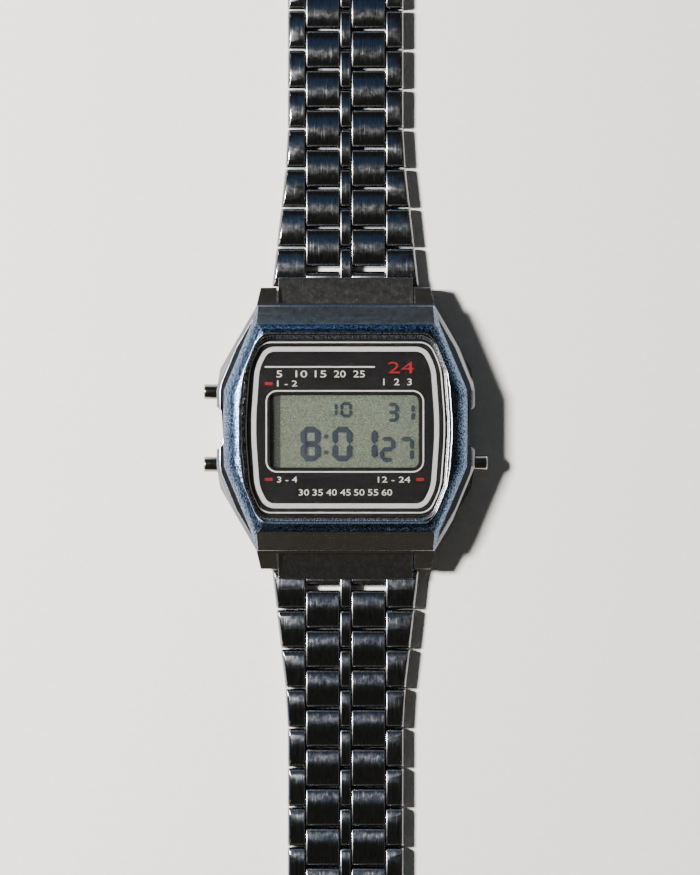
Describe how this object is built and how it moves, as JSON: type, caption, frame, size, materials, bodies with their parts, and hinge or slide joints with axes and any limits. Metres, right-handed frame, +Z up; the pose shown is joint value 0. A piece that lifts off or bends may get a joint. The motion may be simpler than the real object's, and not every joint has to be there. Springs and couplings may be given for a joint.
{
  "type": "wristwatch",
  "caption": "Slim digital wristwatch with a cushion-cornered steel case, side push buttons and an open five-column link bracelet with a folding clasp.",
  "frame": {"origin": "centre of the outer face of the case back, on which the watch lies", "axes": "+X to 3 o'clock, +Y to 12 o'clock along the bracelet, +Z up through the crystal"},
  "size_m": [0.037, 0.1839, 0.008],
  "materials": {
    "steel_case": "polished plated case, plain flats on the end slopes",
    "steel_link": "bright steel, brushed along the bracelet",
    "steel_clasp": "pressed steel sheet, brushed",
    "steel_pin": "turned steel pins, bars, screws and clips",
    "steel_back": "brushed stainless back, bare",
    "button_metal": "dark polished metal",
    "spring_wire": "drawn spring wire",
    "crystal_glass": "clear flat crystal",
    "dial_print": "black dial with light grey rings",
    "lcd_glass": "green-grey reflective display",
    "black_plastic": "moulded movement frame",
    "board": "green board with a black chip",
    "rubber_strip": "striped conductive rubber",
    "seal_rubber": "black gasket rubber",
    "lamp_cover": "small clear lamp",
    "cell_steel": "nickelled steel can",
    "contact_brass": "gilt spring contacts"
  },
  "bodies": {
    "case": {"case": "steel_case", "crystal": "crystal_glass", "case_back": "steel_back", "spring_bar_12": "steel_pin", "spring_bar_6": "steel_pin", "dial_plate": "dial_print", "lcd_panel": "lcd_glass", "lcd_connectors": "rubber_strip", "module_frame": "black_plastic", "circuit_board": "board", "lamp": "lamp_cover", "battery": "cell_steel", "battery_clip": "spring_wire", "buzzer_disc": "contact_brass", "buzzer_spring": "contact_brass", "switch_contacts": "contact_brass", "back_gasket": "seal_rubber", "back_screws": "steel_pin", "button_seals": "seal_rubber", "button_spring_upper_left": "spring_wire", "button_spring_lower_left": "spring_wire", "button_spring_lower_right": "spring_wire"},
    "button_upper_left": {"button_upper_left": "button_metal", "button_clip_upper_left": "steel_pin"},
    "button_lower_left": {"button_lower_left": "button_metal", "button_clip_lower_left": "steel_pin"},
    "button_lower_right": {"button_lower_right": "button_metal", "button_clip_lower_right": "steel_pin"},
    "end_link_12": {"end_link_12": "steel_clasp"},
    "link_12_01": {"link_12_01": "steel_link"},
    "link_12_02": {"link_12_02": "steel_link"},
    "link_12_03": {"link_12_03": "steel_link"},
    "link_12_04": {"link_12_04": "steel_link"},
    "link_12_05": {"link_12_05": "steel_link"},
    "link_12_06": {"link_12_06": "steel_link"},
    "link_12_07": {"link_12_07": "steel_link"},
    "link_12_08": {"link_12_08": "steel_link"},
    "link_12_09": {"link_12_09": "steel_link"},
    "link_12_10": {"link_12_10": "steel_link"},
    "end_link_6": {"end_link_6": "steel_clasp"},
    "link_6_01": {"link_6_01": "steel_link"},
    "link_6_02": {"link_6_02": "steel_link"},
    "link_6_03": {"link_6_03": "steel_link"},
    "link_6_04": {"link_6_04": "steel_link"},
    "link_6_05": {"link_6_05": "steel_link"},
    "link_6_06": {"link_6_06": "steel_link"},
    "link_6_07": {"link_6_07": "steel_link"},
    "link_6_08": {"link_6_08": "steel_link"},
    "link_6_09": {"link_6_09": "steel_link"},
    "link_6_10": {"link_6_10": "steel_link"},
    "link_6_11": {"link_6_11": "steel_link"},
    "link_6_12": {"link_6_12": "steel_link"},
    "clasp_cover": {"clasp_cover": "steel_clasp", "clasp_fold_pin": "steel_pin"},
    "clasp_blade": {"clasp_blade": "steel_clasp", "clasp_slide": "steel_clasp", "clasp_slide_pin": "steel_pin", "clasp_lock_pin": "steel_pin"},
    "clasp_lock_lever": {"clasp_lock_lever": "steel_clasp"}
  },
  "joints": [
    {"name": "press_upper_left", "type": "slide", "parent": "case", "child": "button_upper_left", "axis": [1, 0, 0], "range_m": [0, 0.0008], "stiffness_N_per_m": 800, "springref_m": -0.0006, "deforming": ["button_spring_upper_left"]},
    {"name": "press_lower_left", "type": "slide", "parent": "case", "child": "button_lower_left", "axis": [1, 0, 0], "range_m": [0, 0.0008], "stiffness_N_per_m": 800, "springref_m": -0.0006, "deforming": ["button_spring_lower_left"]},
    {"name": "press_lower_right", "type": "slide", "parent": "case", "child": "button_lower_right", "axis": [-1, 0, 0], "range_m": [0, 0.0008], "stiffness_N_per_m": 800, "springref_m": -0.0006, "deforming": ["button_spring_lower_right"]},
    {"name": "lug_hinge_12", "type": "hinge", "parent": "case", "child": "end_link_12", "pos_m": [0, 0.0159, 0.0025], "axis": [1, 0, 0], "range_deg": [-45, 12]},
    {"name": "hinge_12_01", "type": "hinge", "parent": "end_link_12", "child": "link_12_01", "pos_m": [0, 0.01985, 0.0012], "axis": [1, 0, 0], "range_deg": [-15, 8]},
    {"name": "hinge_12_02", "type": "hinge", "parent": "link_12_01", "child": "link_12_02", "pos_m": [0, 0.02505, 0.0012], "axis": [1, 0, 0], "range_deg": [-15, 8]},
    {"name": "hinge_12_03", "type": "hinge", "parent": "link_12_02", "child": "link_12_03", "pos_m": [0, 0.03025, 0.0012], "axis": [1, 0, 0], "range_deg": [-15, 8]},
    {"name": "hinge_12_04", "type": "hinge", "parent": "link_12_03", "child": "link_12_04", "pos_m": [0, 0.03545, 0.0012], "axis": [1, 0, 0], "range_deg": [-15, 8]},
    {"name": "hinge_12_05", "type": "hinge", "parent": "link_12_04", "child": "link_12_05", "pos_m": [0, 0.04065, 0.0012], "axis": [1, 0, 0], "range_deg": [-15, 8]},
    {"name": "hinge_12_06", "type": "hinge", "parent": "link_12_05", "child": "link_12_06", "pos_m": [0, 0.04585, 0.0012], "axis": [1, 0, 0], "range_deg": [-15, 8]},
    {"name": "hinge_12_07", "type": "hinge", "parent": "link_12_06", "child": "link_12_07", "pos_m": [0, 0.05105, 0.0012], "axis": [1, 0, 0], "range_deg": [-15, 8]},
    {"name": "hinge_12_08", "type": "hinge", "parent": "link_12_07", "child": "link_12_08", "pos_m": [0, 0.05625, 0.0012], "axis": [1, 0, 0], "range_deg": [-15, 8]},
    {"name": "hinge_12_09", "type": "hinge", "parent": "link_12_08", "child": "link_12_09", "pos_m": [0, 0.06145, 0.0012], "axis": [1, 0, 0], "range_deg": [-15, 8]},
    {"name": "hinge_12_10", "type": "hinge", "parent": "link_12_09", "child": "link_12_10", "pos_m": [0, 0.06665, 0.0012], "axis": [1, 0, 0], "range_deg": [-15, 8]},
    {"name": "lug_hinge_6", "type": "hinge", "parent": "case", "child": "end_link_6", "pos_m": [0, -0.0159, 0.0025], "axis": [1, 0, 0], "range_deg": [-12, 45]},
    {"name": "hinge_6_01", "type": "hinge", "parent": "end_link_6", "child": "link_6_01", "pos_m": [0, -0.01985, 0.0012], "axis": [1, 0, 0], "range_deg": [-8, 15]},
    {"name": "hinge_6_02", "type": "hinge", "parent": "link_6_01", "child": "link_6_02", "pos_m": [0, -0.02505, 0.0012], "axis": [1, 0, 0], "range_deg": [-8, 15]},
    {"name": "hinge_6_03", "type": "hinge", "parent": "link_6_02", "child": "link_6_03", "pos_m": [0, -0.03025, 0.0012], "axis": [1, 0, 0], "range_deg": [-8, 15]},
    {"name": "hinge_6_04", "type": "hinge", "parent": "link_6_03", "child": "link_6_04", "pos_m": [0, -0.03545, 0.0012], "axis": [1, 0, 0], "range_deg": [-8, 15]},
    {"name": "hinge_6_05", "type": "hinge", "parent": "link_6_04", "child": "link_6_05", "pos_m": [0, -0.04065, 0.0012], "axis": [1, 0, 0], "range_deg": [-8, 15]},
    {"name": "hinge_6_06", "type": "hinge", "parent": "link_6_05", "child": "link_6_06", "pos_m": [0, -0.04585, 0.0012], "axis": [1, 0, 0], "range_deg": [-8, 15]},
    {"name": "hinge_6_07", "type": "hinge", "parent": "link_6_06", "child": "link_6_07", "pos_m": [0, -0.05105, 0.0012], "axis": [1, 0, 0], "range_deg": [-8, 15]},
    {"name": "hinge_6_08", "type": "hinge", "parent": "link_6_07", "child": "link_6_08", "pos_m": [0, -0.05625, 0.0012], "axis": [1, 0, 0], "range_deg": [-8, 15]},
    {"name": "hinge_6_09", "type": "hinge", "parent": "link_6_08", "child": "link_6_09", "pos_m": [0, -0.06145, 0.0012], "axis": [1, 0, 0], "range_deg": [-8, 15]},
    {"name": "hinge_6_10", "type": "hinge", "parent": "link_6_09", "child": "link_6_10", "pos_m": [0, -0.06665, 0.0012], "axis": [1, 0, 0], "range_deg": [-8, 15]},
    {"name": "hinge_6_11", "type": "hinge", "parent": "link_6_10", "child": "link_6_11", "pos_m": [0, -0.07185, 0.0012], "axis": [1, 0, 0], "range_deg": [-8, 15]},
    {"name": "hinge_6_12", "type": "hinge", "parent": "link_6_11", "child": "link_6_12", "pos_m": [0, -0.07705, 0.0012], "axis": [1, 0, 0], "range_deg": [-8, 15]},
    {"name": "clasp_hinge", "type": "hinge", "parent": "link_12_10", "child": "clasp_cover", "pos_m": [0, 0.07185, 0.0012], "axis": [1, 0, 0], "range_deg": [-15, 8]},
    {"name": "clasp_fold", "type": "hinge", "parent": "clasp_cover", "child": "clasp_blade", "pos_m": [0, 0.09935, 0.0009], "axis": [1, 0, 0], "range_deg": [0, 170]},
    {"name": "clasp_lock", "type": "hinge", "parent": "clasp_blade", "child": "clasp_lock_lever", "pos_m": [0, 0.0775, 0.0005], "axis": [1, 0, 0], "range_deg": [-75, 0]}
  ]
}
